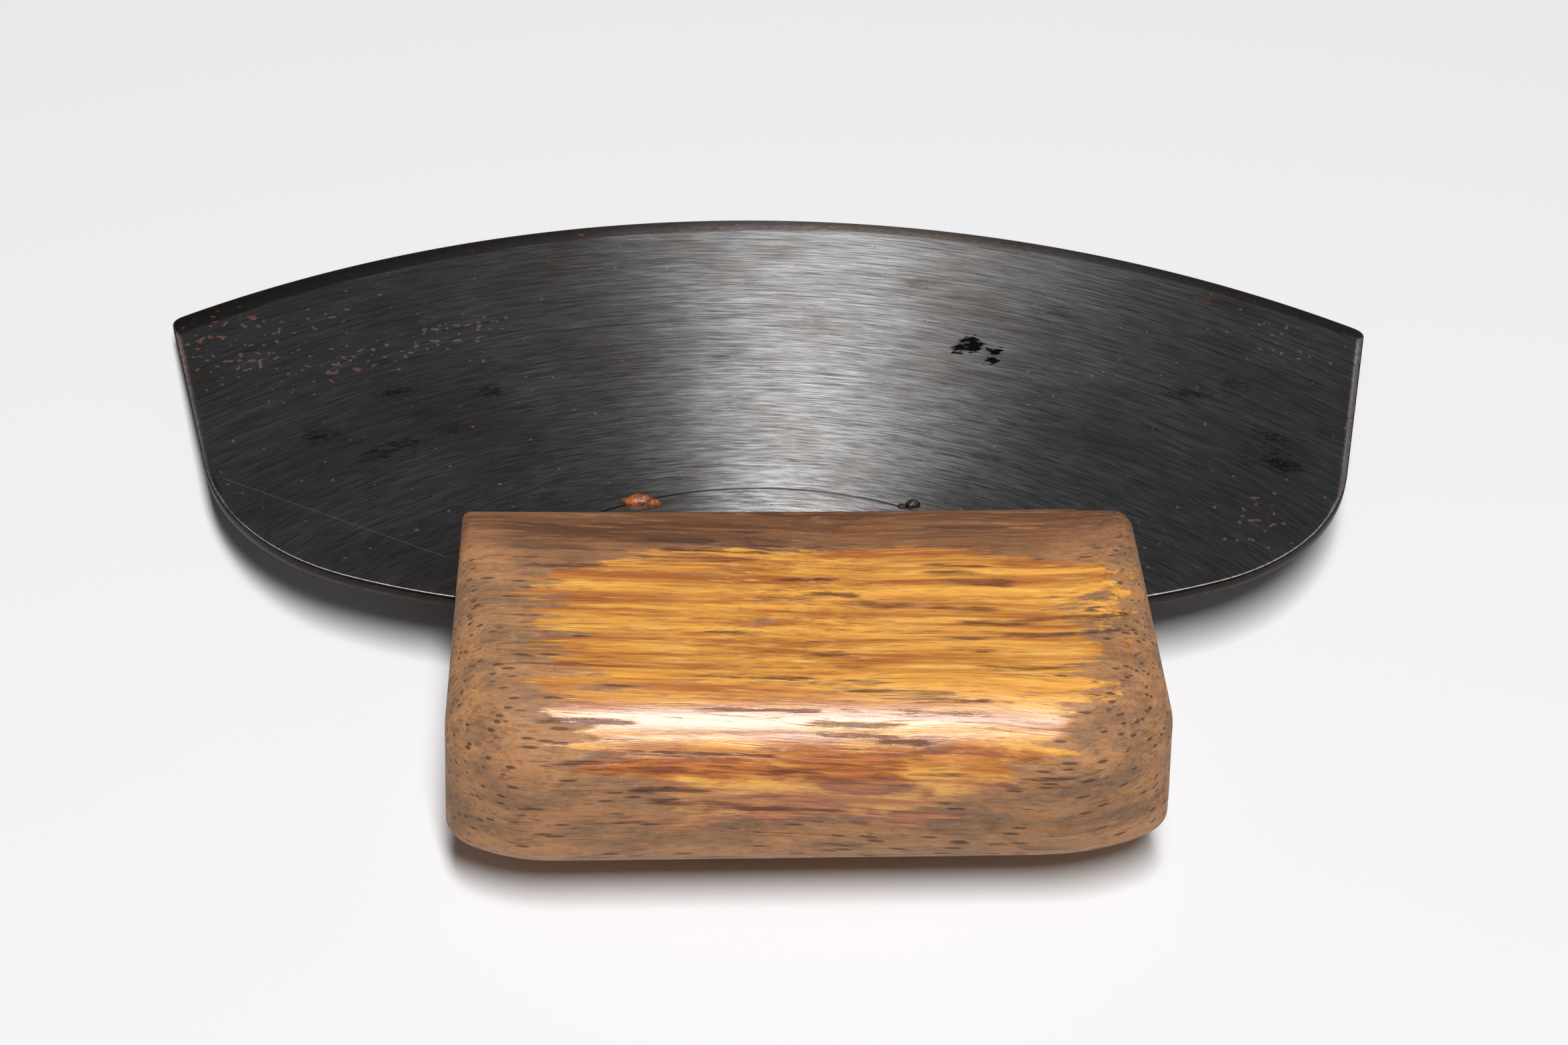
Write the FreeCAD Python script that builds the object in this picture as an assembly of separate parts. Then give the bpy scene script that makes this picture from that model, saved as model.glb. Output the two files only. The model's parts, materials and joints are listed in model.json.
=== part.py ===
import FreeCAD, Part
import math
import os

from FreeCAD import Matrix, Placement, Rotation, Vector

# A crescent-bladed hand knife of the ulu pattern: a half-moon steel plate, ground to an edge
# along its long arc, set with adhesive in a saw kerf in a rounded hardwood block.
#
# Millimetres. The pieces are made in a bench frame and then laid down together.
# Bench frame: X runs along the handle, Y from the handle's mouth (Y = 0) towards the cutting
# edge, and Z is square to the blade, with Z = 0 on the blade's middle plane.
# Finished frame: the knife lies as it rests on a table, on the middle of its cutting edge and
# on the handle's lower mouth corner, with Z = 0 on the table.

# Blade
BLADE_THICKNESS = 2.0
EDGE_APEX = 95.7            # how far the cutting edge stands out of the handle's mouth
EDGE_RADIUS = 165.0         # the cutting edge is one arc
EDGE_LAND = 0.3             # the worn flat left on the cutting edge
BEVEL_WIDTH = 5.2
TIP_HALF_WIDTH = 97.3
TIP_RADIUS = 3.0
SIDE_LEAN = 14.3            # degrees that each side leans in from square to the handle
SHOULDER_START = 24.8       # height above the mouth where a side begins to turn in
SHOULDER_RADIUS = 38.2
SHOULDER_TURN = 54.6        # degrees
SPINE_RADIUS = 100.0        # the gentler curve that runs on into the kerf
BLADE_SKEW = -1.1           # degrees that the blade sits askew in the kerf
BLADE_SHIFT = -1.3          # how far its middle is from the middle of the handle

# Handle
HANDLE_THICKNESS = 26.4
HANDLE_DEPTH = 48.4
MOUTH_WIDTH = 96.0
HEEL_WIDTH = 99.8
MOUTH_CORNER_LEFT = 1.0     # corner radii seen from above
MOUTH_CORNER_RIGHT = 3.5
HEEL_CORNER_LEFT = 14.0
HEEL_CORNER_RIGHT = 18.0
MOUTH_ROUND = 1.0           # radii of the long edges
HEEL_TOP_ROUND = 11.0
HEEL_BOTTOM_ROUND = 7.0
END_ROUND_MOUTH = 1.5       # radii of the end edges, which grow from the mouth to the heel
END_ROUND_HEEL = 11.0

# Kerf and adhesive
KERF_DEPTH = 11.0
AMBER_DROP = {"at": (-22.6, 16.6), "size": (5.6, 2.6, 1.5)}
DARK_DROP = {"at": (18.6, 15.6), "size": (2.6, 2.0, 1.1)}

CUT_MARGIN = 2.0            # how far cutting shapes run past what they cut


def polar(angle):
    """A unit vector in the XY plane, from an angle in degrees."""
    return Vector(math.cos(math.radians(angle)), math.sin(math.radians(angle)), 0)


def turn_right(start, heading, radius, turn):
    """An arc that leaves start along heading and bends right; returns it, its end and heading."""
    centre = start + polar(heading - 90) * radius
    middle = centre + polar(heading + 90 - turn / 2) * radius
    end = centre + polar(heading + 90 - turn) * radius
    return Part.Arc(start, middle, end).toShape(), end, heading - turn


def in_rows(shape, direction):
    """The straight edges of a shape that run along a direction."""
    found = []
    for edge in shape.Edges:
        if isinstance(edge.Curve, Part.Line):
            along = edge.tangentAt(edge.FirstParameter)
            if abs(along.dot(direction)) > 0.999:
                found.append(edge)
    return found


def edge_centre():
    return Vector(0, EDGE_APEX - EDGE_RADIUS, 0)


def blade_outline():
    """The crescent's outline as a face, symmetric about X = 0."""
    centre = edge_centre()
    tip_y = centre.y + math.sqrt(EDGE_RADIUS ** 2 - TIP_HALF_WIDTH ** 2)
    tip = Vector(TIP_HALF_WIDTH, tip_y, 0)
    heading = -90 - SIDE_LEAN
    fall = tip_y - SHOULDER_START
    shoulder = Vector(TIP_HALF_WIDTH - fall * math.tan(math.radians(SIDE_LEAN)), SHOULDER_START, 0)
    side = Part.makeLine(tip, shoulder)
    corner, end, heading = turn_right(shoulder, heading, SHOULDER_RADIUS, SHOULDER_TURN)
    spine, end, heading = turn_right(end, heading, SPINE_RADIUS, heading + 180)
    back = Part.makeLine(end, Vector(0, end.y, 0))
    half = [side, corner, spine, back]
    other = [piece.mirror(Vector(0, 0, 0), Vector(1, 0, 0)) for piece in half]
    apex = Vector(0, EDGE_APEX, 0)
    edge = Part.Arc(Vector(-tip.x, tip.y, 0), apex, tip).toShape()
    wire = Part.Wire(Part.__sortEdges__(half + other + [edge]))
    return Part.Face(wire)


def bevel_cutter():
    """A ring above the blade whose sloping underside grinds the upper bevel."""
    drop = (BLADE_THICKNESS - EDGE_LAND) / 2
    top = BLADE_THICKNESS / 2
    slope = drop / BEVEL_WIDTH
    inner = EDGE_RADIUS - BEVEL_WIDTH
    outer = EDGE_RADIUS + CUT_MARGIN
    axis_y = edge_centre().y
    corners = [
        Vector(inner, axis_y, top),
        Vector(outer, axis_y, top - slope * (outer - inner)),
        Vector(outer, axis_y, top + CUT_MARGIN),
        Vector(inner, axis_y, top + CUT_MARGIN),
    ]
    section = Part.Face(Part.makePolygon(corners + corners[:1]))
    return section.revolve(Vector(0, axis_y, 0), Vector(0, 0, 1), 360)


def make_blade():
    plate = blade_outline().extrude(Vector(0, 0, BLADE_THICKNESS))
    plate.translate(Vector(0, 0, -BLADE_THICKNESS / 2))
    uprights = in_rows(plate, Vector(0, 0, 1))
    tips = [edge for edge in uprights if abs(edge.CenterOfMass.x) > TIP_HALF_WIDTH - 1]
    plate = plate.makeFillet(TIP_RADIUS, tips)
    upper = bevel_cutter()
    lower = upper.mirror(Vector(0, 0, 0), Vector(0, 0, 1))
    blade = plate.cut(upper).cut(lower)
    blade.rotate(Vector(0, 0, 0), Vector(0, 0, 1), BLADE_SKEW)
    blade.translate(Vector(BLADE_SHIFT, 0, 0))
    return blade


def spandrel(y, half_width, radius, sx, sz):
    """The section, at one Y, of what rounding takes off one end edge, as a wire."""
    z = HANDLE_THICKNESS / 2
    slack = radius * (1 - math.sqrt(0.5))
    on_end = Vector(sx * half_width, y, sz * (z - radius))
    on_face = Vector(sx * (half_width - radius), y, sz * z)
    middle = Vector(sx * (half_width - slack), y, sz * (z - slack))
    above = Vector(on_face.x, y, sz * (z + CUT_MARGIN))
    beside = Vector(sx * (half_width + CUT_MARGIN), y, on_end.z)
    outside = Vector(beside.x, y, above.z)
    rim = Part.makePolygon([on_face, above, outside, beside, on_end])
    return Part.Wire([Part.Arc(on_end, middle, on_face).toShape()] + rim.Edges)


def end_cutters():
    """What rounds the block's four end edges, more and more towards the heel."""
    slope = (HEEL_WIDTH - MOUTH_WIDTH) / 2 / HANDLE_DEPTH
    growth = (END_ROUND_HEEL - END_ROUND_MOUTH) / HANDLE_DEPTH
    cutters = []
    for sx, sz in ((1, 1), (-1, 1), (-1, -1), (1, -1)):
        sections = []
        for y in (CUT_MARGIN, -HANDLE_DEPTH - CUT_MARGIN):
            half_width = MOUTH_WIDTH / 2 - slope * y
            sections.append(spandrel(y, half_width, END_ROUND_MOUTH - growth * y, sx, sz))
        cutters.append(Part.makeLoft(sections, True, True))
    return cutters


def rounded_prism(corners, radii, direction):
    """A prism on a polygon, with one radius for each upright corner edge."""
    wire = Part.makePolygon(corners + corners[:1])
    prism = Part.Face(wire).extrude(direction)
    for corner, radius in zip(corners, radii):
        uprights = in_rows(prism, direction / direction.Length)
        near = min(uprights, key=lambda edge: edge.distToShape(Part.Vertex(corner))[0])
        prism = prism.makeFillet(radius, [near])
    return prism


def plan_prism():
    """The handle's outline from above, as a prism taller than the handle."""
    z = -HANDLE_THICKNESS / 2 - CUT_MARGIN
    mouth = MOUTH_WIDTH / 2
    heel = HEEL_WIDTH / 2
    corners = [
        Vector(-mouth, 0, z),
        Vector(mouth, 0, z),
        Vector(heel, -HANDLE_DEPTH, z),
        Vector(-heel, -HANDLE_DEPTH, z),
    ]
    radii = [MOUTH_CORNER_LEFT, MOUTH_CORNER_RIGHT, HEEL_CORNER_RIGHT, HEEL_CORNER_LEFT]
    return rounded_prism(corners, radii, Vector(0, 0, HANDLE_THICKNESS + 2 * CUT_MARGIN))


def side_prism():
    """The handle's outline from the end, as a prism longer than the handle."""
    x = -HEEL_WIDTH / 2 - CUT_MARGIN
    z = HANDLE_THICKNESS / 2
    corners = [
        Vector(x, 0, z),
        Vector(x, -HANDLE_DEPTH, z),
        Vector(x, -HANDLE_DEPTH, -z),
        Vector(x, 0, -z),
    ]
    radii = [MOUTH_ROUND, HEEL_TOP_ROUND, HEEL_BOTTOM_ROUND, MOUTH_ROUND]
    return rounded_prism(corners, radii, Vector(HEEL_WIDTH + 2 * CUT_MARGIN, 0, 0))


def make_block():
    """The rounded handle before its kerf is sawn."""
    return plan_prism().common(side_prism()).cut(end_cutters())


def kerf_box():
    length = HEEL_WIDTH + 2 * CUT_MARGIN
    corner = Vector(-length / 2, -KERF_DEPTH, -BLADE_THICKNESS / 2)
    return Part.makeBox(length, KERF_DEPTH + CUT_MARGIN, BLADE_THICKNESS, corner)


def make_adhesive_bed(block, blade):
    """What fills the kerf behind and beside the blade's curved spine."""
    return block.common(kerf_box()).cut(blade)


def make_drop(at, size):
    """A low rounded drop on the blade's upper face."""
    length, width, height = size
    ball = Part.makeSphere(1.0)
    squash = Matrix()
    squash.scale(length / 2, width / 2, height / 2)
    drop = ball.transformGeometry(squash)
    below = Part.makeBox(length * 2, width * 2, height, Vector(-length, -width, -height))
    drop = drop.cut(below)
    drop.translate(Vector(at[0], at[1], BLADE_THICKNESS / 2))
    return drop


def resting_tilt():
    """Degrees that the knife tips towards its edge when edge and mouth corner touch a table."""
    skew = math.radians(BLADE_SKEW)
    reach = edge_centre().y * math.cos(skew) + EDGE_RADIUS + MOUTH_ROUND
    drop = (HANDLE_THICKNESS - EDGE_LAND) / 2 - MOUTH_ROUND
    return math.degrees(math.atan2(drop, reach) + math.asin(MOUTH_ROUND / math.hypot(drop, reach)))


def lay_down(pieces):
    """Tilts every piece to the resting pose and puts the origin under the middle of them all."""
    tilt = Placement(Vector(0, 0, 0), Rotation(Vector(1, 0, 0), -resting_tilt()))
    for shape in pieces.values():
        shape.transformShape(tilt.toMatrix())
    box = Part.makeCompound(list(pieces.values())).optimalBoundingBox(False, False)
    for shape in pieces.values():
        shape.translate(Vector(-box.Center.x, -box.Center.y, -box.ZMin))
    print("tilt", round(resting_tilt(), 3), "size", box.XLength, box.YLength, box.ZLength)
    print("bench origin moved by", -box.Center.x, -box.Center.y, -box.ZMin)


def make_pieces():
    blade = make_blade()
    block = make_block()
    return {
        "blade": blade,
        "handle": block.cut(kerf_box()),
        "adhesive_bed": make_adhesive_bed(block, blade),
        "adhesive_drops": Part.makeCompound([make_drop(**AMBER_DROP), make_drop(**DARK_DROP)]),
    }


def main():
    os.makedirs("parts", exist_ok=True)
    pieces = make_pieces()
    lay_down(pieces)
    for name, shape in pieces.items():
        solids = len(shape.Solids)
        print(name, "valid", shape.isValid(), "solids", solids, "mm3", round(shape.Volume, 1))
        shape.exportStep("parts/" + name + ".step")


main()
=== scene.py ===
import json
import math

import bpy
import numpy as np
from mathutils import Matrix, Vector, geometry, noise


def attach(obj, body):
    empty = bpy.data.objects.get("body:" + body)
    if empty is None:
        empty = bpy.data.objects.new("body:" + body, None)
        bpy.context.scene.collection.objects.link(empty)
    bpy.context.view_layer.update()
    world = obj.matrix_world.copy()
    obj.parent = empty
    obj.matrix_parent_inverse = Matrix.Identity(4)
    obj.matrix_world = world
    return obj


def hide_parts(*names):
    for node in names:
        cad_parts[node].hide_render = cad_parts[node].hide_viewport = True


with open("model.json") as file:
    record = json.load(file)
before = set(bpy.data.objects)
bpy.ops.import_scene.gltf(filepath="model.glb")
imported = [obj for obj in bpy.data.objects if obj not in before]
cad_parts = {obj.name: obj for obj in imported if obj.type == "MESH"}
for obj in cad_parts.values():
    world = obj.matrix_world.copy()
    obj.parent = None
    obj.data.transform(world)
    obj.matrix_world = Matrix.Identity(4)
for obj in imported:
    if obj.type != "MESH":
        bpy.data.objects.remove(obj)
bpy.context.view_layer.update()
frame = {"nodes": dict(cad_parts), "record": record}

# A crescent-bladed hand knife of the ulu pattern: a brushed and rust-freckled steel half-moon
# set in a worn, partly varnished hardwood block.
#
# Millimetres, in the bench frame that the CAD model was drawn in: X runs along the handle, Y
# from the handle's mouth (Y = 0) towards the cutting edge, and Z is square to the blade, with
# Z = 0 on the blade's middle plane. One matrix, bench_frame(), lays the pieces in the frame.
MM = 0.001

# Blade
BLADE_HALF = 1.0            # half its thickness
EDGE_APEX = 95.7
EDGE_RADIUS = 165.0
EDGE_HALF = 0.15            # half the worn flat on the cutting edge
BEVEL_WIDTH = 4.7           # at the middle; it is wider to the left and narrower to the right
BEVEL_TAPER = 0.008
SIDE_BEVEL = 1.1
SIDE_HALF = 0.62            # half the thickness left at the foot of the side bevels
SPINE_HALF = 0.86
TIP_HALF_WIDTH = 97.3
TIP_RADIUS = 3.0
SIDE_LEAN = 14.3
SHOULDER_START = 24.8
SHOULDER_RADIUS = 38.2
SHOULDER_TURN = 54.6
SPINE_RADIUS = 100.0
BLADE_SKEW = -1.1
BLADE_SHIFT = -1.3
BRUSH_CENTRE = (-7.7, -61.6)    # the grinder's marks are arcs about this point
BRUSH_SLANT = -3.5              # degrees that the marks lean off those arcs
SCRIBE_CENTRE = (-4.9, -31.8)
SCRIBE_RADIUS = 51.75

SCRATCH = ((-85, 23), (-51, 4))     # the one long straight scratch, from end to end
SCRATCH_WIDTH = 0.12

# Handle
HANDLE_HALF = 13.2
HANDLE_DEPTH = 48.4
MOUTH_HALF_WIDTH = 48.0
HEEL_HALF_WIDTH = 49.9
KERF_DEPTH = 11.0
MOUTH_HOLLOW = 0.45         # how far the worn mouth edge dips at its middle
GRAIN_RISE = 0.05           # the grain's slope along the handle
GRAIN_TURN_X = 28.0         # where the grain begins to turn back
GRAIN_TURN = 0.008

# Stage
CAMERA_PITCH = 46.163       # degrees
CAMERA_YAW = 5.086
CAMERA_ROLL = 3.369
CAMERA_PLACE = (-28.25, -317.90, 333.04)
CAMERA_LENS = 68.4
SENSOR_WIDTH = 36
FLOOR_SIZE = 8              # metres
FLOOR_COLOUR = (0.78, 0.78, 0.79, 1)
ROOM_COLOUR = (0.06, 0.06, 0.062, 1)


# ---------------------------------------------------------------- shared helpers

def bench_frame():
    """The matrix from bench millimetres to the frame's metres, from the handle's top face."""
    mount = next(m for m in frame["record"]["mounts"] if m["name"] == "handle_top")
    up = Vector(mount["axis"]).normalized()
    across = Vector((1, 0, 0))
    turn = Matrix((across, up.cross(across), up)).transposed()
    on_bench = Vector((0, -15, HANDLE_HALF)) * MM
    origin = Vector(mount["pos_m"]) - turn @ on_bench
    return Matrix.Translation(origin) @ turn.to_4x4()


def smoothstep(low, high, value):
    t = np.clip((value - low) / (high - low), 0, 1)
    return t * t * (3 - 2 * t)


def rumple(points, wavelength, seed):
    """Smooth noise from about -1 to 1 at each point."""
    shift = Vector((seed * 7.31, seed * -3.17, seed * 5.43))
    return np.array([noise.noise(Vector(p) / wavelength + shift) for p in points])


def patch(points, centre, reach, angle=0.0):
    """1 at a centre in the XY plane, falling to 0 at an ellipse of the given half axes."""
    turn = math.radians(angle)
    dx = points[:, 0] - centre[0]
    dy = points[:, 1] - centre[1]
    along = dx * math.cos(turn) + dy * math.sin(turn)
    across = dy * math.cos(turn) - dx * math.sin(turn)
    return np.clip(1 - np.hypot(along / reach[0], across / reach[1]), 0, 1)


def add_piece(name, points, faces, material, stands_for):
    """Makes a smooth mesh from bench millimetres and fixes it to the frame."""
    mesh = bpy.data.meshes.new(name)
    mesh.from_pydata((points * MM).tolist(), [], faces)
    mesh.transform(bench_frame())
    mesh.validate()
    mesh.shade_smooth()
    mesh.materials.append(material)
    piece = bpy.data.objects.new(name, mesh)
    bpy.context.scene.collection.objects.link(piece)
    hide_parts(stands_for)
    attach(piece, "root")
    return piece


def mesh_points(piece):
    """A piece's own points, in bench millimetres."""
    flat = np.empty(len(piece.data.vertices) * 3)
    piece.data.vertices.foreach_get("co", flat)
    to_bench = np.array(bench_frame().inverted())
    return (flat.reshape(-1, 3) @ to_bench[:3, :3].T + to_bench[:3, 3]) / MM


def paint(piece, name, values):
    """Stores one number at each point of a piece's mesh, for its material to read."""
    layer = piece.data.attributes.new(name, "FLOAT", "POINT")
    layer.data.foreach_set("value", np.asarray(values, np.float32))


# ---------------------------------------------------------------- blade shape

def arc(centre, radius, start, end, spacing):
    """Points along an arc, without its last one, from and to angles in degrees."""
    count = max(2, round(abs(math.radians(end - start)) * radius / spacing))
    angles = np.radians(np.linspace(start, end, count, endpoint=False))
    return np.stack([np.cos(angles), np.sin(angles)], axis=1) * radius + np.array(centre)


def line(start, end, spacing):
    """Points along a line, without its last one."""
    start, end = np.array(start, float), np.array(end, float)
    count = max(2, round(np.linalg.norm(end - start) / spacing))
    return start + (end - start) * np.linspace(0, 1, count, endpoint=False)[:, None]


def polar(angle):
    return np.array([math.cos(math.radians(angle)), math.sin(math.radians(angle))])


def tip_fillet():
    """Where the tip's small arc leaves the cutting edge and meets the side."""
    edge_centre = np.array([0, EDGE_APEX - EDGE_RADIUS])
    rise = math.sqrt(EDGE_RADIUS ** 2 - TIP_HALF_WIDTH ** 2)
    tip = edge_centre + np.array([TIP_HALF_WIDTH, rise])
    down = polar(-90 - SIDE_LEAN)
    inward = polar(180 - SIDE_LEAN)
    base = tip + inward * TIP_RADIUS - edge_centre
    reach = EDGE_RADIUS - TIP_RADIUS
    along = -base @ down - math.sqrt((base @ down) ** 2 - base @ base + reach ** 2)
    centre = edge_centre + base + down * along
    out = centre - edge_centre
    return centre, math.degrees(math.atan2(out[1], out[0])), tip


def half_outline(spacing):
    """The right half of the blade's outline, from the apex of the edge to the spine's middle."""
    edge_centre = (0, EDGE_APEX - EDGE_RADIUS)
    centre, leave, tip = tip_fillet()
    fall = tip[1] - SHOULDER_START
    shoulder = tip + np.array([-fall * math.tan(math.radians(SIDE_LEAN)), -fall])
    side_foot = centre + polar(-SIDE_LEAN) * TIP_RADIUS
    heading = -90 - SIDE_LEAN
    shoulder_centre = shoulder + polar(heading - 90) * SHOULDER_RADIUS
    heading -= SHOULDER_TURN
    spine_start = shoulder_centre + polar(heading + 90) * SHOULDER_RADIUS
    spine_centre = spine_start + polar(heading - 90) * SPINE_RADIUS
    spine_end = spine_centre + polar(-90) * SPINE_RADIUS
    return np.concatenate([
        arc(edge_centre, EDGE_RADIUS, 90, leave, spacing),
        arc(centre, TIP_RADIUS, leave, -SIDE_LEAN, spacing * 0.6),
        line(side_foot, shoulder, spacing),
        arc(shoulder_centre, SHOULDER_RADIUS, -SIDE_LEAN, heading + 90, spacing),
        arc(spine_centre, SPINE_RADIUS, heading + 90, -90, spacing),
        line(spine_end, (0, spine_end[1]), spacing * 3),
    ])


def blade_outline(spacing=0.5):
    """The whole outline, clockwise from the apex of the cutting edge."""
    right = half_outline(spacing)
    left = right[1:][::-1] * np.array([-1, 1])
    middle = np.array([[0, right[-1, 1]]])
    return np.concatenate([right, middle, left])


def inward_normals(outline):
    ahead = np.roll(outline, -1, axis=0) - np.roll(outline, 1, axis=0)
    ahead /= np.linalg.norm(ahead, axis=1)[:, None]
    return np.stack([ahead[:, 1], -ahead[:, 0]], axis=1)


def distance_to(outline, points):
    """Each point's distance to the nearest sample of the outline."""
    nearest = np.full(len(points), np.inf)
    for chunk in np.array_split(outline, 20):
        gaps = np.linalg.norm(points[:, None, :] - chunk[None, :, :], axis=2)
        nearest = np.minimum(nearest, gaps.min(axis=1))
    return nearest


def bevel_width(x):
    wander = np.array([noise.noise(Vector((v * 0.11, 3.0, 0))) for v in x])
    return BEVEL_WIDTH - BEVEL_TAPER * x + 0.25 * wander


def blade_height(points, outline):
    """The height of the blade's upper face above its middle plane."""
    edge_centre = np.array([0, EDGE_APEX - EDGE_RADIUS])
    to_edge = EDGE_RADIUS - np.linalg.norm(points - edge_centre, axis=1)
    blunt = outline[np.linalg.norm(outline - edge_centre, axis=1) < EDGE_RADIUS - 0.05]
    to_side = distance_to(blunt, points)
    share = np.clip(to_edge / bevel_width(points[:, 0]), 0, 1)
    height = EDGE_HALF + (BLADE_HALF - EDGE_HALF) * share ** 0.9
    flank = smoothstep(8, 26, points[:, 1])
    foot = SPINE_HALF + (SIDE_HALF - SPINE_HALF) * flank
    width = 0.2 + (SIDE_BEVEL - 0.2) * flank
    side = foot + (BLADE_HALF - foot) * np.clip(to_side / width, 0, 1) ** 0.8
    return np.minimum(height, side)


def face_points(outline, spacing=1.1):
    """Points inside the outline: rings that follow the bevels, then an even triangular grid."""
    inward = inward_normals(outline)
    rings = []
    for depth in (0.22, 0.6, 1.1, 1.4, 2.4, 3.5, 4.4, 4.75, 5.1, 5.6):
        ring = outline + inward * depth
        clear = distance_to(outline, ring) > depth - 0.02
        rings.append(ring[clear])
    rows = np.arange(outline[:, 1].min(), outline[:, 1].max(), spacing * math.sqrt(0.75))
    columns = np.arange(-TIP_HALF_WIDTH, TIP_HALF_WIDTH, spacing)
    grid = []
    for index, y in enumerate(rows):
        xs = columns + (spacing / 2 if index % 2 else 0)
        grid.append(np.stack([xs, np.full_like(xs, y)], axis=1))
    grid = np.concatenate(grid)
    inside = points_inside(outline, grid)
    grid = grid[inside]
    grid = grid[distance_to(outline, grid) > 6.2]
    return np.concatenate(rings + [grid])


def points_inside(outline, points):
    """Which points lie inside a closed outline, by counting crossings."""
    inside = np.zeros(len(points), bool)
    x, y = points.T
    following = np.roll(outline, -1, axis=0)
    for (x0, y0), (x1, y1) in zip(outline, following):
        if y0 == y1:
            continue
        crosses = (y0 > y) != (y1 > y)
        inside ^= crosses & (x < x0 + (y - y0) * (x1 - x0) / (y1 - y0))
    return inside


def make_blade(material):
    outline = blade_outline()
    count = len(outline)
    inner = face_points(outline)
    flat = np.concatenate([outline, inner])
    result = geometry.delaunay_2d_cdt(
        [Vector(p) for p in flat.tolist()], [], [list(range(count))[::-1]], 1, 1e-5)
    flat = np.array([list(v) for v in result[0]])
    triangles = [list(face) for face in result[2]]
    height = blade_height(flat, outline)
    size = len(flat)
    top = np.column_stack([flat, height])
    bottom = np.column_stack([flat, -height])
    points = np.concatenate([top, bottom])
    faces = triangles + [[size + i for i in reversed(face)] for face in triangles]
    for i in range(count):
        j = (i + 1) % count
        faces.append([i, j, size + j, size + i])
    turn = math.radians(BLADE_SKEW)
    x, y = points[:, 0].copy(), points[:, 1].copy()
    points[:, 0] = x * math.cos(turn) - y * math.sin(turn) + BLADE_SHIFT
    points[:, 1] = x * math.sin(turn) + y * math.cos(turn)
    return add_piece("steel_blade", points, faces, material, "blade")


# ---------------------------------------------------------------- blade wear

# Zones of marks on the steel's upper face: middle x and y, spread in x and y, how many marks,
# longest half length, lean in degrees, strength.
ORANGE_ZONES = [
    (-72, 58, 22, 9, 9, 10, 15, 0.6),
    (86, 60, 6, 6, 3, 8, -40, 0.45),
    (60, 12, 14, 5, 3, 6, 0, 0.6),
]
DARK_RUST_ZONES = [(28, 76, 8, 1, 2, 6, -6, 0.8), (72, 70, 3, 1, 1, 5, -20, 1.0)]
SMUDGE_ZONES = [(-58, 42, 16, 16, 6, 6, 20, 0.8), (70, 36, 9, 16, 6, 6, -30, 0.8)]
PIT_ZONES = [(32, 56, 4, 5, 9, 2.4, 15, 0.95)]
# What each kind of mark is painted as, its zones and its seed.
STEEL_MARKS = [
    ("orange_rust", ORANGE_ZONES, 1),
    ("dark_rust", DARK_RUST_ZONES, 2),
    ("smudge", SMUDGE_ZONES, 3),
    ("pit", PIT_ZONES, 4),
]
LEAN_SPREAD = 15            # degrees


def scatter(zones, seed):
    """Marks strewn over their zones: x, y, half length, half width, lean in degrees, strength."""
    rng = np.random.default_rng(seed)
    marks = []
    for middle_x, middle_y, spread_x, spread_y, count, longest, lean, strength in zones:
        for _ in range(count):
            x = middle_x + rng.uniform(-spread_x, spread_x)
            y = middle_y + rng.uniform(-spread_y, spread_y)
            length = longest * rng.uniform(0.6, 1)
            width = length * rng.uniform(0.4, 0.6)
            turned = lean + rng.uniform(-LEAN_SPREAD, LEAN_SPREAD)
            marks.append((x, y, length, width, turned, strength * rng.uniform(0.75, 1)))
    return marks


def marks_on(points, marks):
    """How strongly each point of the upper face is marked; the lower face has them turned over."""
    x = np.where(points[:, 2] < 0, -points[:, 0], points[:, 0])
    here = np.stack([x, points[:, 1]], axis=1)
    total = np.zeros(len(points))
    for at_x, at_y, length, width, lean, strength in marks:
        reach = patch(here, (at_x, at_y), (length * 1.6, width * 1.6), lean)
        total = np.maximum(total, strength * reach)
    return total


def ground_on(points):
    """1 where the steel is below its face: on the bevels and the edges."""
    return smoothstep(0.01, 0.06, BLADE_HALF - np.abs(points[:, 2]))


# ---------------------------------------------------------------- handle shape

def graded(low, high, coarse, fine_low, fine_high, zone):
    """Values from low to high whose spacing is finer within a zone of each end."""
    values = [low]
    while values[-1] < high:
        to_low = min(1, (values[-1] - low) / zone)
        to_high = min(1, (high - values[-1]) / zone)
        step = min(fine_low + (coarse - fine_low) * to_low, fine_high + (coarse - fine_high) * to_high)
        values.append(values[-1] + step)
    values = np.array(values)
    return low + (values - low) * (high - low) / (values[-1] - low)


def lattice_skin(lines, solid):
    """The skin of a block of lattice cells: its points, and quads that all face out."""
    shape = tuple(len(values) for values in lines)
    padded = np.pad(solid.astype(int), 1)
    quads = []
    for axis in range(3):
        step_u, step_v = np.zeros(3, int), np.zeros(3, int)
        step_u[(axis + 1) % 3] = 1
        step_v[(axis + 2) % 3] = 1
        keep = [slice(1, -1)] * 3
        keep[axis] = slice(None)
        change = np.diff(padded, axis=axis)[tuple(keep)]
        for facing in (1, -1):
            corner = np.argwhere(change == -facing)
            ring = [corner, corner + step_u, corner + step_u + step_v, corner + step_v]
            ring = ring[::facing]
            quads.append(np.stack([np.ravel_multi_index(c.T, shape) for c in ring], axis=1))
    quads = np.concatenate(quads)
    used, faces = np.unique(quads, return_inverse=True)
    i, j, k = np.unravel_index(used, shape)
    points = np.stack([lines[0][i], lines[1][j], lines[2][k]], axis=1)
    return points, faces.reshape(-1, 4)


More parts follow.
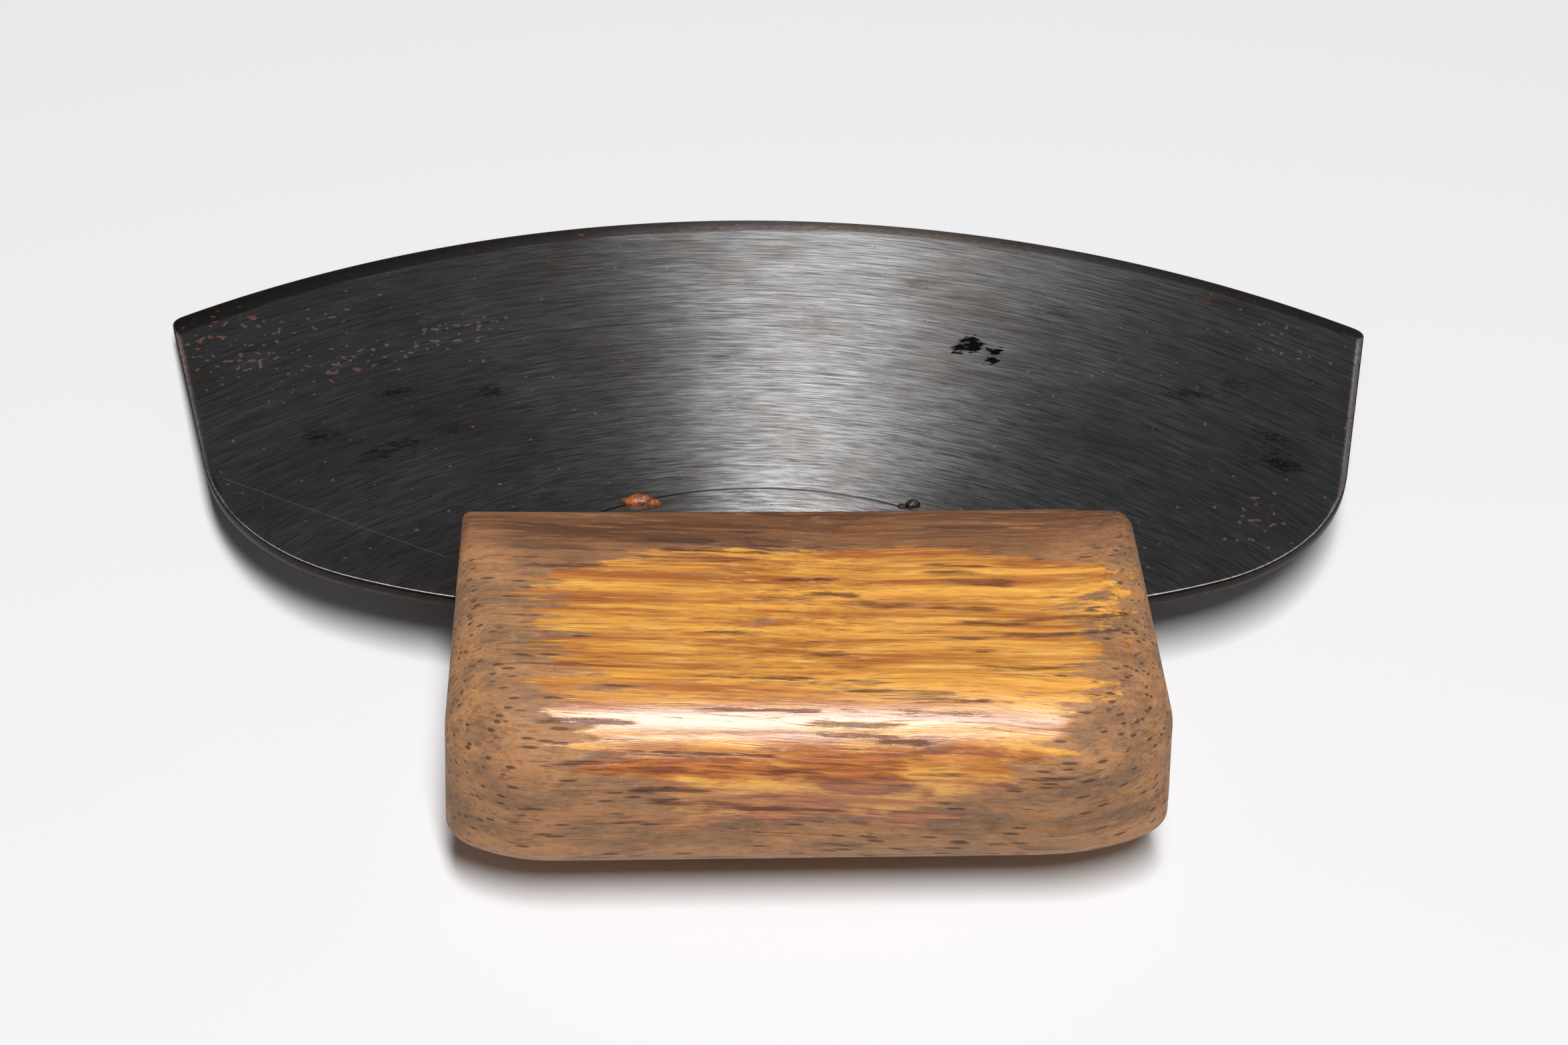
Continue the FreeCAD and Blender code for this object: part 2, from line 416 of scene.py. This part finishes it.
def round_block(points):
    """Rounds a plain block: crisp at the mouth, growing softer and softer towards the heel."""
    x, y, z = points.T
    depth = np.clip(-y / HANDLE_DEPTH, 0, 1)
    half_width = MOUTH_HALF_WIDTH + (HEEL_HALF_WIDTH - MOUTH_HALF_WIDTH) * depth
    x = x * half_width / MOUTH_HALF_WIDTH
    right = smoothstep(-20, 20, x)
    upper = smoothstep(-10, 10, z)
    soft = depth ** 1.15
    radius_x = (1.2 + 2.2 * right) + (14.3 - 1.5 * upper + 1.4 * right) * soft
    radius_z = 1.3 + (4.7 + 5.1 * upper) * soft
    at_heel = y < -HANDLE_DEPTH / 2
    radius_y = np.where(at_heel, 7.5 + 5.5 * upper, 1.1 + 1.8 * right * (x > 40))
    half = np.stack([half_width, np.full_like(x, HANDLE_DEPTH / 2), np.full_like(x, HANDLE_HALF)], axis=1)
    radius = np.stack([radius_x, radius_y, radius_z], axis=1)
    local = np.stack([x, y + HANDLE_DEPTH / 2, z], axis=1)
    core = np.clip(local, radius - half, half - radius)
    over = (local - core) / radius
    largest = np.abs(over).max(axis=1)
    length = np.linalg.norm(over, axis=1)
    shrink = np.where(length > 0, largest / np.maximum(length, 1e-9), 1)
    rounded = core + over * shrink[:, None] * radius
    rounded[:, 1] -= HANDLE_DEPTH / 2
    return rounded


def make_handle(material):
    xs = graded(-MOUTH_HALF_WIDTH, MOUTH_HALF_WIDTH, 1.0, 0.4, 0.4, 16)
    ys = graded(-HANDLE_DEPTH, 0, 0.42, 0.42, 0.2, 6)
    kerf_row = np.abs(ys + KERF_DEPTH).argmin()
    ys[kerf_row] = -KERF_DEPTH
    zs = graded(-HANDLE_HALF, HANDLE_HALF, 0.42, 0.3, 0.3, 2)
    kerf_half = BLADE_HALF + 0.05
    low, high = np.abs(zs + kerf_half).argmin(), np.abs(zs - kerf_half).argmin()
    zs[low], zs[high] = -kerf_half, kerf_half
    solid = np.ones((len(xs) - 1, len(ys) - 1, len(zs) - 1), bool)
    solid[:, kerf_row:, low:high] = False
    points, faces = lattice_skin((xs, ys, zs), solid)
    points = round_block(points)
    dip = MOUTH_HOLLOW * (1 - (points[:, 0] / MOUTH_HALF_WIDTH) ** 2)
    points[:, 1] -= dip * smoothstep(-8, 0, points[:, 1])
    return add_piece("wooden_handle", points, faces.tolist(), material, "handle")


# ---------------------------------------------------------------- drops of adhesive

# Squeezed-out adhesive on the blade's upper face: x, y, half length, half width, height.
AMBER_DROPS = [(-22.6, 16.6, 2.8, 1.3, 1.5), (-20.6, 16.4, 1.3, 0.9, 0.9), (-24.4, 17.0, 0.9, 0.6, 0.6)]
DARK_DROPS = [(18.6, 15.6, 1.3, 1.0, 1.1), (16.9, 15.3, 0.8, 0.6, 0.5)]


def lump(at_x, at_y, length, width, height, seed):
    """A low, uneven dome that dips a little into the blade's face: its points and faces."""
    rings, spokes = 14, 40
    points = [(0, 0, 1)]
    for ring in range(1, rings + 1):
        tip = 1.75 * ring / rings
        for spoke in range(spokes):
            turn = 2 * math.pi * spoke / spokes
            points.append((math.sin(tip) * math.cos(turn), math.sin(tip) * math.sin(turn), math.cos(tip)))
    points = np.array(points)
    uneven = 1 + 0.14 * rumple(points, 0.7, seed) + 0.05 * rumple(points, 0.25, seed + 1)
    points *= uneven[:, None] * np.array([length, width, height]) / 1.12
    points += np.array([at_x, at_y, BLADE_HALF])
    faces = [[0, 1 + k, 1 + (k + 1) % spokes] for k in range(spokes)]
    for ring in range(rings - 1):
        low = 1 + ring * spokes
        for k in range(spokes):
            along = (k + 1) % spokes
            faces.append([low + k, low + spokes + k, low + spokes + along, low + along])
    last = 1 + (rings - 1) * spokes
    faces.append([last + k for k in range(spokes)][::-1])
    return points, faces


def make_drops(name, drops, material):
    points, faces = [], []
    for seed, drop in enumerate(drops):
        first = sum(len(part) for part in points)
        part, part_faces = lump(*drop, seed=seed * 3 + 11)
        points.append(part)
        faces += [[first + i for i in face] for face in part_faces]
    return add_piece(name, np.concatenate(points), faces, material, "adhesive_drops")


# ---------------------------------------------------------------- handle wear

# "round" is how far a point is round the handle from the mouth's top edge: back along the top
# face, over the heel's edge and down the heel. Dark streaks are strewn along it.
STREAK_COUNT = 44
STREAK_SEED = 5
# The varnish that is left: where it starts and stops round the handle, and its ends along it.
VARNISH_FAR = 10
VARNISH_NEAR = 64
VARNISH_LEFT = -37
VARNISH_RIGHT = 44
FLAKE_COUNT = 12
FLAKE_SEED = 8


def draw_streaks():
    """Streaks strewn over the top and heel: left, right, round, half width, depth."""
    rng = np.random.default_rng(STREAK_SEED)
    streaks = []
    for count in range(STREAK_COUNT):
        round_at = 4 + 58 * (count + rng.uniform(0, 1)) / STREAK_COUNT
        left = rng.uniform(-40, 30)
        right = left + rng.uniform(6, 20)
        streaks.append((left, right, round_at, rng.uniform(0.6, 1.3), rng.uniform(0.65, 1.0)))
    return streaks


def draw_flakes():
    """Spots where varnish flaked off or stayed on: x, round, half length, half width, amount."""
    rng = np.random.default_rng(FLAKE_SEED)
    flakes = []
    for count in range(FLAKE_COUNT):
        amount = rng.uniform(0.4, 1.0) * (-1 if count % 2 else 1)
        at = rng.uniform(-34, 30)
        round_at = rng.uniform(5, 60)
        length = rng.uniform(2, 5)
        flakes.append((at, round_at, length, rng.uniform(0.5, 2), amount))
    return flakes


def varnish_ends(way):
    """Where the varnish ends, left and right: it narrows to the heel and closes at both sides."""
    opened = smoothstep(VARNISH_FAR, VARNISH_FAR + 5, way)
    closing = 1 - opened * (1 - smoothstep(50, VARNISH_NEAR, way))
    narrowing = np.clip((way - 15) / 45, 0, 1)
    left = VARNISH_LEFT + 6 * narrowing + 14 * closing
    right = VARNISH_RIGHT - 13 * narrowing - 16 * closing
    return left, right


def grain_bend(x):
    """How the grain runs across the handle: a slow dip that turns back near the right end."""
    return GRAIN_RISE * x - GRAIN_TURN * np.maximum(0, x - GRAIN_TURN_X) ** 2


def unrolled(points):
    """Each point's x and its way round the handle; the underside repeats the top, turned over."""
    below = points[:, 2] < -6
    x = np.where(below, -points[:, 0], points[:, 0])
    rise = np.where(below, -points[:, 2], points[:, 2])
    return x, HANDLE_HALF - points[:, 1] - rise, below


def streaks_on(points):
    x, way, below = unrolled(points)
    way = way + 0.25 * rumple(points * (0.25, 1, 1), 2.0, 4)
    ragged = 1.0 + 0.5 * rumple(points * (0.3, 1, 1), 0.9, 5)
    total = np.zeros(len(points))
    for left, right, round_at, width, depth in draw_streaks():
        middle = (left + right) / 2
        centre = round_at + grain_bend(x) - grain_bend(middle)
        across = 1 - np.abs(way - centre) / (0.8 * width * ragged)
        past_end = np.abs(x - middle) - (right - left) / 2
        total = np.maximum(total, depth * np.clip(across * 1.6, 0, 1) * smoothstep(1.5, -2.5, past_end))
    return total * np.where(below, 0.6, 1)


def varnish_on(points):
    x, way, below = unrolled(points)
    left, right = varnish_ends(way)
    ends = np.minimum(x - left, right - x) / 14
    sides = np.minimum((way - VARNISH_FAR) / 3, (VARNISH_NEAR - way) / 7)
    kept = 0.5 + np.minimum(ends, sides)
    for at, round_at, length, width, amount in draw_flakes():
        reach = np.clip(1.4 - np.hypot((x - at) / length, (way - round_at) / width), 0, 1)
        kept = np.clip(kept, -0.2, 1.2) + amount * reach
    kept = np.where(below, kept - smoothstep(30, 46, way), kept)
    return np.clip(kept, 0, 1)


def bleach_on(points):
    """Where hands and water have worn the bare wood pale: all of it but a strip by the mouth."""
    x, y = points[:, 0], points[:, 1]
    from_mouth = -y + 0.35 * np.maximum(0, np.abs(x) - 34) + 1.5 * rumple(points, 6, 8)
    return np.clip(smoothstep(5, 17, from_mouth), 0, 1)


# ---------------------------------------------------------------- materials

class Nodes:
    """Adds shader nodes to one new material. Inputs are numbers, colours or other nodes' sockets."""

    def __init__(self, name):
        self.material = bpy.data.materials.new(name)
        self.material.use_nodes = True
        self.tree = self.material.node_tree
        self.shader = self.tree.nodes["Principled BSDF"]

    def feed(self, socket, value):
        if isinstance(value, bpy.types.NodeSocket):
            self.tree.links.new(value, socket)
        elif value is not None:
            socket.default_value = value

    def add(self, kind, inputs, output=0, **settings):
        node = self.tree.nodes.new(kind)
        for name, value in settings.items():
            setattr(node, name, value)
        for key, value in inputs.items():
            self.feed(node.inputs[key], value)
        return node.outputs[output]

    def set(self, **inputs):
        for name, value in inputs.items():
            self.feed(self.shader.inputs[name.replace("_", " ")], value)

    def math(self, operation, a, b=None, c=None):
        return self.add("ShaderNodeMath", {0: a, 1: b, 2: c}, operation=operation)

    def vector(self, operation, a, b=None, output=0):
        return self.add("ShaderNodeVectorMath", {0: a, 1: b}, output, operation=operation)

    def place(self):
        """The point on the surface, in bench millimetres."""
        here = self.add("ShaderNodeTexCoord", {}, "Object")
        to_bench = bench_frame().inverted()
        inputs = {"Vector": here, "Location": to_bench.translation, "Rotation": to_bench.to_euler()}
        on_bench = self.add("ShaderNodeMapping", inputs, vector_type="POINT")
        return self.vector("MULTIPLY", on_bench, (1000, 1000, 1000))

    def painted(self, name):
        return self.add("ShaderNodeAttribute", {}, "Fac", attribute_name=name)

    def noise(self, place, stretch, wavelength, detail=3.0, roughness=0.5):
        scaled = self.vector("MULTIPLY", place, stretch)
        inputs = {"Vector": scaled, "Scale": 1 / wavelength, "Detail": detail, "Roughness": roughness}
        return self.add("ShaderNodeTexNoise", inputs, "Fac")

    def step(self, value, low, high, out_low=0.0, out_high=1.0):
        inputs = {"Value": value, "From Min": low, "From Max": high, "To Min": out_low, "To Max": out_high}
        return self.add("ShaderNodeMapRange", inputs, interpolation_type="SMOOTHSTEP")

    def mix(self, share, a, b, blend="MIX"):
        """Colour a where share is 0, and colour b, or a blended with b, where it is 1."""
        inputs = {0: share, 6: a, 7: b}
        return self.add("ShaderNodeMix", inputs, 2, data_type="RGBA", blend_type=blend)

    def near_line(self, place, start, end, width):
        """1 on a straight line between two XY points, falling to 0 over a width beside it."""
        start, end = Vector((*start, 0)), Vector((*end, 0))
        half = (end - start).length / 2
        ahead = (end - start).normalized()
        side = Vector((-ahead.y, ahead.x, 0))
        from_start = self.vector("SUBTRACT", place, start)
        off = self.math("ABSOLUTE", self.vector("DOT_PRODUCT", from_start, side, output="Value"))
        run = self.vector("DOT_PRODUCT", from_start, ahead, output="Value")
        inside = self.math("COMPARE", run, half, half)
        return self.math("MULTIPLY", inside, self.step(off, 0, width, 1, 0))

    def mix_number(self, share, a, b):
        return self.add("ShaderNodeMix", {0: share, 2: a, 3: b})

    def bump(self, height, depth):
        return self.add("ShaderNodeBump", {"Height": height, "Distance": depth * MM})


def colour(red, green, blue):
    """A shader colour from the usual 0 to 255 screen values."""
    linear = []
    for value in (red, green, blue):
        share = value / 255
        linear.append(share / 12.92 if share <= 0.04045 else ((share + 0.055) / 1.055) ** 2.4)
    return (*linear, 1.0)


def steel():
    n = Nodes("brushed_steel")
    place = n.place()
    from_centre = n.vector("SUBTRACT", place, (BRUSH_CENTRE[0], BRUSH_CENTRE[1], 0))
    flat = n.vector("MULTIPLY", from_centre, (1, 1, 0))
    radial = n.vector("NORMALIZE", flat)
    radius = n.vector("LENGTH", flat, output="Value")
    x = n.add("ShaderNodeSeparateXYZ", {0: flat}, "X")
    y = n.add("ShaderNodeSeparateXYZ", {0: flat}, "Y")
    z = n.add("ShaderNodeSeparateXYZ", {0: place}, "Z")
    angle = n.math("ARCTAN2", x, y)
    along = n.math("MULTIPLY", angle, 120)
    brushed = n.add("ShaderNodeCombineXYZ", {0: along, 1: radius, 2: z})
    coarse = n.noise(brushed, (0.04, 1, 1), 0.6, detail=3, roughness=0.6)
    fine = n.noise(brushed, (0.03, 1, 1), 0.15, detail=3, roughness=0.7)
    streak = n.math("MULTIPLY_ADD", coarse, 0.2, n.math("MULTIPLY", fine, 0.8))
    cloud = n.noise(place, (1, 1, 1), 22, detail=5, roughness=0.6)
    shade = n.step(streak, 0.3, 0.7)
    ground = n.painted("ground")
    base = n.mix(shade, colour(92, 93, 97), colour(186, 186, 188))
    base = n.mix(n.step(cloud, 0.35, 0.7, 0, 0.5), base, colour(116, 102, 84))
    specks = n.noise(place, (1, 1, 1), 1.1, detail=0.6, roughness=0.5)
    crumbs = n.noise(place, (0.6, 1.3, 1), 0.8, detail=5, roughness=0.75)
    orange = n.step(n.math("MULTIPLY_ADD", n.painted("orange_rust"), 0.3, specks), 0.75, 0.84, 0, 0.9)
    rust = n.step(n.math("MULTIPLY_ADD", n.painted("dark_rust"), 0.7, crumbs), 0.75, 1.1, 0, 0.9)
    smudge = n.step(n.math("MULTIPLY_ADD", n.painted("smudge"), 0.6, crumbs), 0.7, 1.0, 0, 0.75)
    pit = n.step(n.math("MULTIPLY_ADD", n.painted("pit"), 0.8, crumbs), 0.84, 0.95)
    stray = n.step(n.noise(place, (1, 1.6, 1), 2.4, detail=6, roughness=0.7), 0.66, 0.76, 0, 0.55)
    tint = n.mix(n.step(crumbs, 0.35, 0.65), colour(52, 42, 38), colour(88, 78, 74))
    base = n.mix(n.math("MULTIPLY", ground, 0.9), base, tint)
    off_middle = n.math("ABSOLUTE", z)
    rim = n.step(off_middle, 0.25 * BLADE_HALF, 0.95 * BLADE_HALF, 0.85, 0)
    base = n.mix(rim, base, colour(48, 43, 40))
    base = n.mix(n.math("MAXIMUM", stray, smudge), base, colour(30, 26, 24))
    base = n.mix(rust, base, colour(58, 26, 16))
    base = n.mix(orange, base, colour(104, 44, 10))
    base = n.mix(pit, base, colour(14, 12, 11))
    centre_gap = n.vector("MULTIPLY", n.vector("SUBTRACT", place, (*SCRIBE_CENTRE, 0)), (1, 1, 0))
    from_scribe = n.vector("LENGTH", centre_gap, output="Value")
    off_ring = n.math("ABSOLUTE", n.math("SUBTRACT", from_scribe, SCRIBE_RADIUS))
    ring = n.step(off_ring, 0.1, 0.3, 0.8, 0)
    scratch = n.near_line(place, *SCRATCH, SCRATCH_WIDTH)
    base = n.mix(n.math("MULTIPLY", scratch, 0.5), base, colour(176, 176, 180))
    base = n.mix(ring, base, colour(30, 28, 28))
    dull = n.math("MAXIMUM", n.math("POWER", rust, 3), orange)
    dull = n.math("MAXIMUM", dull, n.math("MULTIPLY", scratch, 0.12))
    metal = n.math("SUBTRACT", 0.96, dull)
    turned = n.add("ShaderNodeVectorRotate", {"Vector": radial, "Angle": math.radians(-BRUSH_SLANT)},
                   rotation_type="Z_AXIS")
    in_frame = n.add("ShaderNodeMapping", {"Vector": turned, "Rotation": bench_frame().to_euler()},
                     vector_type="VECTOR")
    world_radial = n.add("ShaderNodeVectorTransform", {0: in_frame}, vector_type="VECTOR",
                         convert_from="OBJECT", convert_to="WORLD")
    worn = n.math("MULTIPLY_ADD", dull, 0.3, n.math("MULTIPLY", ground, 0.08))
    rough = n.math("ADD", n.step(streak, 0.3, 0.7, 0.27, 0.33), worn)
    height = n.math("SUBTRACT", streak, n.math("MULTIPLY_ADD", pit, 14, n.math("MULTIPLY", ring, 6)))
    n.set(Base_Color=base, Metallic=metal, Roughness=rough, Anisotropic=1.0, Tangent=world_radial,
          Normal=n.bump(height, 0.004))
    return n.material


def wood():
    n = Nodes("worn_hardwood")
    place = n.place()
    drift = n.add("ShaderNodeTexNoise", {"Vector": place, "Scale": 0.02, "Detail": 1.0}, "Color")
    drift = n.vector("MULTIPLY", n.vector("SUBTRACT", drift, (0.5, 0.5, 0.5)), (0, 5, 5))
    grain = n.vector("ADD", place, drift)
    x = n.add("ShaderNodeSeparateXYZ", {0: place}, "X")
    past = n.math("MAXIMUM", n.math("SUBTRACT", x, GRAIN_TURN_X), 0)
    turn = n.math("MULTIPLY", n.math("MULTIPLY", past, past), GRAIN_TURN)
    bend = n.math("SUBTRACT", n.math("MULTIPLY", x, GRAIN_RISE), turn)
    grain = n.vector("ADD", grain, n.add("ShaderNodeCombineXYZ", {1: bend, 2: bend}))
    bands = n.noise(grain, (0.03, 1, 1), 2.6, detail=4, roughness=0.6)
    fibres = n.noise(grain, (0.05, 1, 1), 0.6, detail=3, roughness=0.7)
    hairs = n.noise(grain, (0.06, 1, 1), 0.2, detail=2, roughness=0.6)
    lines = n.noise(grain, (0.022, 1, 1), 0.9, detail=5, roughness=0.62)
    blotches = n.noise(grain, (0.3, 1, 1), 4.0, detail=4, roughness=0.6)
    cells = n.vector("MULTIPLY", grain, (0.16, 1.0, 1.0))
    in_cells = {"Vector": cells, "Scale": 1.0, "Randomness": 1.0}
    pore_distance = n.add("ShaderNodeTexVoronoi", in_cells, "Distance")
    pore_edge = n.math("MULTIPLY_ADD", fibres, 0.12, pore_distance)
    pore = n.step(pore_edge, 0.22, 0.34, 1, 0)
    speckle = n.noise(grain, (0.35, 1, 1), 0.8, detail=4, roughness=0.7)
    z = n.add("ShaderNodeSeparateXYZ", {0: place}, "Z")
    on_heel = n.step(z, 8, 11.5, 1, 0)
    varnish = n.painted("varnish")
    bleach = n.painted("bleach")
    ragged = n.noise(grain, (0.14, 1, 1), 2.2, detail=7, roughness=0.7)
    worn = n.math("MULTIPLY_ADD", ragged, 3.0, n.math("MULTIPLY_ADD", lines, 1.2, -2.1))
    mask = n.step(n.math("ADD", varnish, worn), 0.38, 0.68)
    torn = n.math("MULTIPLY_ADD", n.noise(grain, (0.05, 1, 1), 0.4, detail=4, roughness=0.7), 2.6, -1.3)
    cut = n.math("ADD", n.painted("streak"), torn)
    wisps = n.noise(grain, (0.02, 1, 1), 0.55, detail=3, roughness=0.6)
    streak = n.math("MAXIMUM", n.step(cut, 0.2, 1.0), n.step(lines, 0.58, 0.7, 0, 0.75))
    streak = n.math("MAXIMUM", streak, n.step(wisps, 0.58, 0.72, 0, 0.5))

    brown = n.mix(n.step(bands, 0.35, 0.65), colour(132, 86, 52), colour(92, 56, 32))
    brown = n.mix(n.step(fibres, 0.5, 0.75, 0, 0.6), brown, colour(176, 134, 100))
    pale = n.mix(n.step(blotches, 0.35, 0.65), colour(184, 133, 88), colour(138, 106, 78))
    pale = n.mix(n.step(fibres, 0.45, 0.75, 0, 0.6), pale, colour(186, 118, 66))
    pale = n.mix(n.step(speckle, 0.5, 0.68, 0, 0.6), pale, colour(112, 78, 54))
    pale = n.mix(n.step(speckle, 0.44, 0.3, 0, 0.5), pale, colour(200, 158, 120))
    # Painted reflection: the bare wood is made lighter towards the bottom of the heel and on the
    # underside, standing in for light bounced up from the pale floor.
    pale = n.mix(n.step(z, -12, -5, 0.45, 0), pale, colour(212, 168, 134))
    bare = n.mix(bleach, brown, pale)
    amber = n.mix(n.step(bands, 0.38, 0.62), colour(246, 176, 72), colour(176, 100, 34))
    amber = n.mix(n.step(fibres, 0.5, 0.8, 0, 0.75), amber, colour(255, 206, 116))
    amber = n.mix(n.step(hairs, 0.55, 0.8, 0, 0.5), amber, colour(150, 84, 30))
    red_brown = n.mix(n.step(fibres, 0.35, 0.65), colour(120, 52, 18), colour(206, 122, 50))
    amber = n.mix(n.math("MULTIPLY", on_heel, n.step(blotches, 0.4, 0.55, 0.1, 0.95)), amber, red_brown)
    base = n.mix(mask, bare, amber)
    shaded = n.mix(1.0, base, colour(190, 170, 150), "MULTIPLY")
    base = n.mix(n.step(hairs, 0.35, 0.75, 0, 0.35), base, shaded)
    open_pore = n.mix_number(mask, n.step(bleach, 0, 1, 0.2, 0.8), 0.15)
    base = n.mix(n.math("MULTIPLY", pore, open_pore), base, colour(70, 42, 28))
    dark = n.mix(mask, colour(66, 38, 26), colour(84, 34, 10))
    base = n.mix(n.math("MULTIPLY", streak, 0.85), base, dark)
    rough = n.step(fibres, 0.3, 0.7, 0.6, 0.78)
    coat = n.math("MULTIPLY", mask, n.step(streak, 0.2, 0.9, 1, 0.25))
    height = n.math("SUBTRACT", n.math("MULTIPLY", hairs, 0.6), n.math("MAXIMUM", pore, streak))
    height = n.math("ADD", height, n.math("MULTIPLY", mask, 0.5))
    in_film = n.math("MULTIPLY_ADD", hairs, 0.5, n.math("MULTIPLY", streak, -0.8))
    film = n.math("MULTIPLY_ADD", ragged, 1.5, in_film)
    n.set(Base_Color=base, Roughness=rough, Coat_Weight=coat, Coat_Roughness=0.24,
          Normal=n.bump(height, 0.06), Coat_Normal=n.bump(film, 0.035))
    return n.material


def resin(name, light, deep, gloss):
    """Old adhesive: cloudy, pitted and a little glossy."""
    n = Nodes(name)
    place = n.place()
    clouds = n.noise(place, (1, 1, 1), 1.4, detail=5, roughness=0.65)
    pits = n.noise(place, (1, 1, 1), 0.35, detail=3)
    base = n.mix(n.step(clouds, 0.35, 0.65), light, deep)
    base = n.mix(n.step(pits, 0.6, 0.72, 0, 0.7), base, colour(26, 16, 12))
    height = n.math("MULTIPLY_ADD", pits, 0.4, clouds)
    rough = n.step(pits, 0.3, 0.7, gloss, gloss + 0.25)
    n.set(Base_Color=base, Roughness=rough, Normal=n.bump(height, 0.15))
    return n.material


def floor_paper():
    n = Nodes("pale_floor")
    n.set(Base_Color=FLOOR_COLOUR, Roughness=0.9)
    return n.material


# ---------------------------------------------------------------- stage

def make_floor():
    bpy.ops.mesh.primitive_plane_add(size=FLOOR_SIZE, location=(0, 0, 0))
    floor = bpy.context.object
    floor.name = "floor"
    floor.data.materials.append(floor_paper())


def softbox(name, at, aim, size, power):
    light = bpy.data.lights.new(name, "AREA")
    light.shape = "RECTANGLE"
    light.size, light.size_y = size
    light.energy = power
    lamp = bpy.data.objects.new(name, light)
    lamp.location = at
    lamp.rotation_euler = (Vector(aim) - Vector(at)).to_track_quat("-Z", "Y").to_euler()
    bpy.context.scene.collection.objects.link(lamp)


def make_lights():
    softbox("overhead", (0.05, -0.40, 1.5), (0, -0.2, 0), (0.27, 0.95), 28.5)
    world = bpy.data.worlds.new("dim_room")
    world.use_nodes = True
    world.node_tree.nodes["Background"].inputs["Color"].default_value = ROOM_COLOUR
    bpy.context.scene.world = world
    bpy.context.scene.view_settings.view_transform = "Standard"


def make_camera():
    pitch, yaw, roll = (math.radians(v) for v in (CAMERA_PITCH, CAMERA_YAW, CAMERA_ROLL))
    ahead = Vector((math.sin(yaw) * math.cos(pitch), math.cos(yaw) * math.cos(pitch), -math.sin(pitch)))
    level = Vector((math.cos(yaw), -math.sin(yaw), 0))
    above = level.cross(ahead)
    right = math.cos(roll) * level + math.sin(roll) * above
    up = math.cos(roll) * above - math.sin(roll) * level
    lens = bpy.data.cameras.new("camera")
    lens.sensor_width = SENSOR_WIDTH
    lens.lens = CAMERA_LENS
    camera = bpy.data.objects.new("camera", lens)
    bpy.context.scene.collection.objects.link(camera)
    turn = Matrix((right, up, -ahead)).transposed().to_4x4()
    camera.matrix_world = Matrix.Translation(Vector(CAMERA_PLACE) * MM) @ turn
    bpy.context.scene.camera = camera


def main():
    blade = make_blade(steel())
    points = mesh_points(blade)
    for name, zones, seed in STEEL_MARKS:
        paint(blade, name, marks_on(points, scatter(zones, seed)))
    paint(blade, "ground", ground_on(points))
    handle = make_handle(wood())
    points = mesh_points(handle)
    paint(handle, "varnish", varnish_on(points))
    paint(handle, "streak", streaks_on(points))
    paint(handle, "bleach", bleach_on(points))
    bed = frame["nodes"]["adhesive_bed"]
    bed.data.materials.clear()
    bed.data.materials.append(resin("dark_resin", colour(84, 54, 32), colour(38, 26, 18), 0.4))
    amber = resin("amber_resin", colour(176, 98, 46), colour(96, 44, 20), 0.2)
    make_drops("amber_drops", AMBER_DROPS, amber)
    soot = resin("soot_resin", colour(52, 34, 26), colour(20, 14, 12), 0.3)
    make_drops("dark_drops", DARK_DROPS, soot)
    make_floor()
    make_lights()
    make_camera()


main()
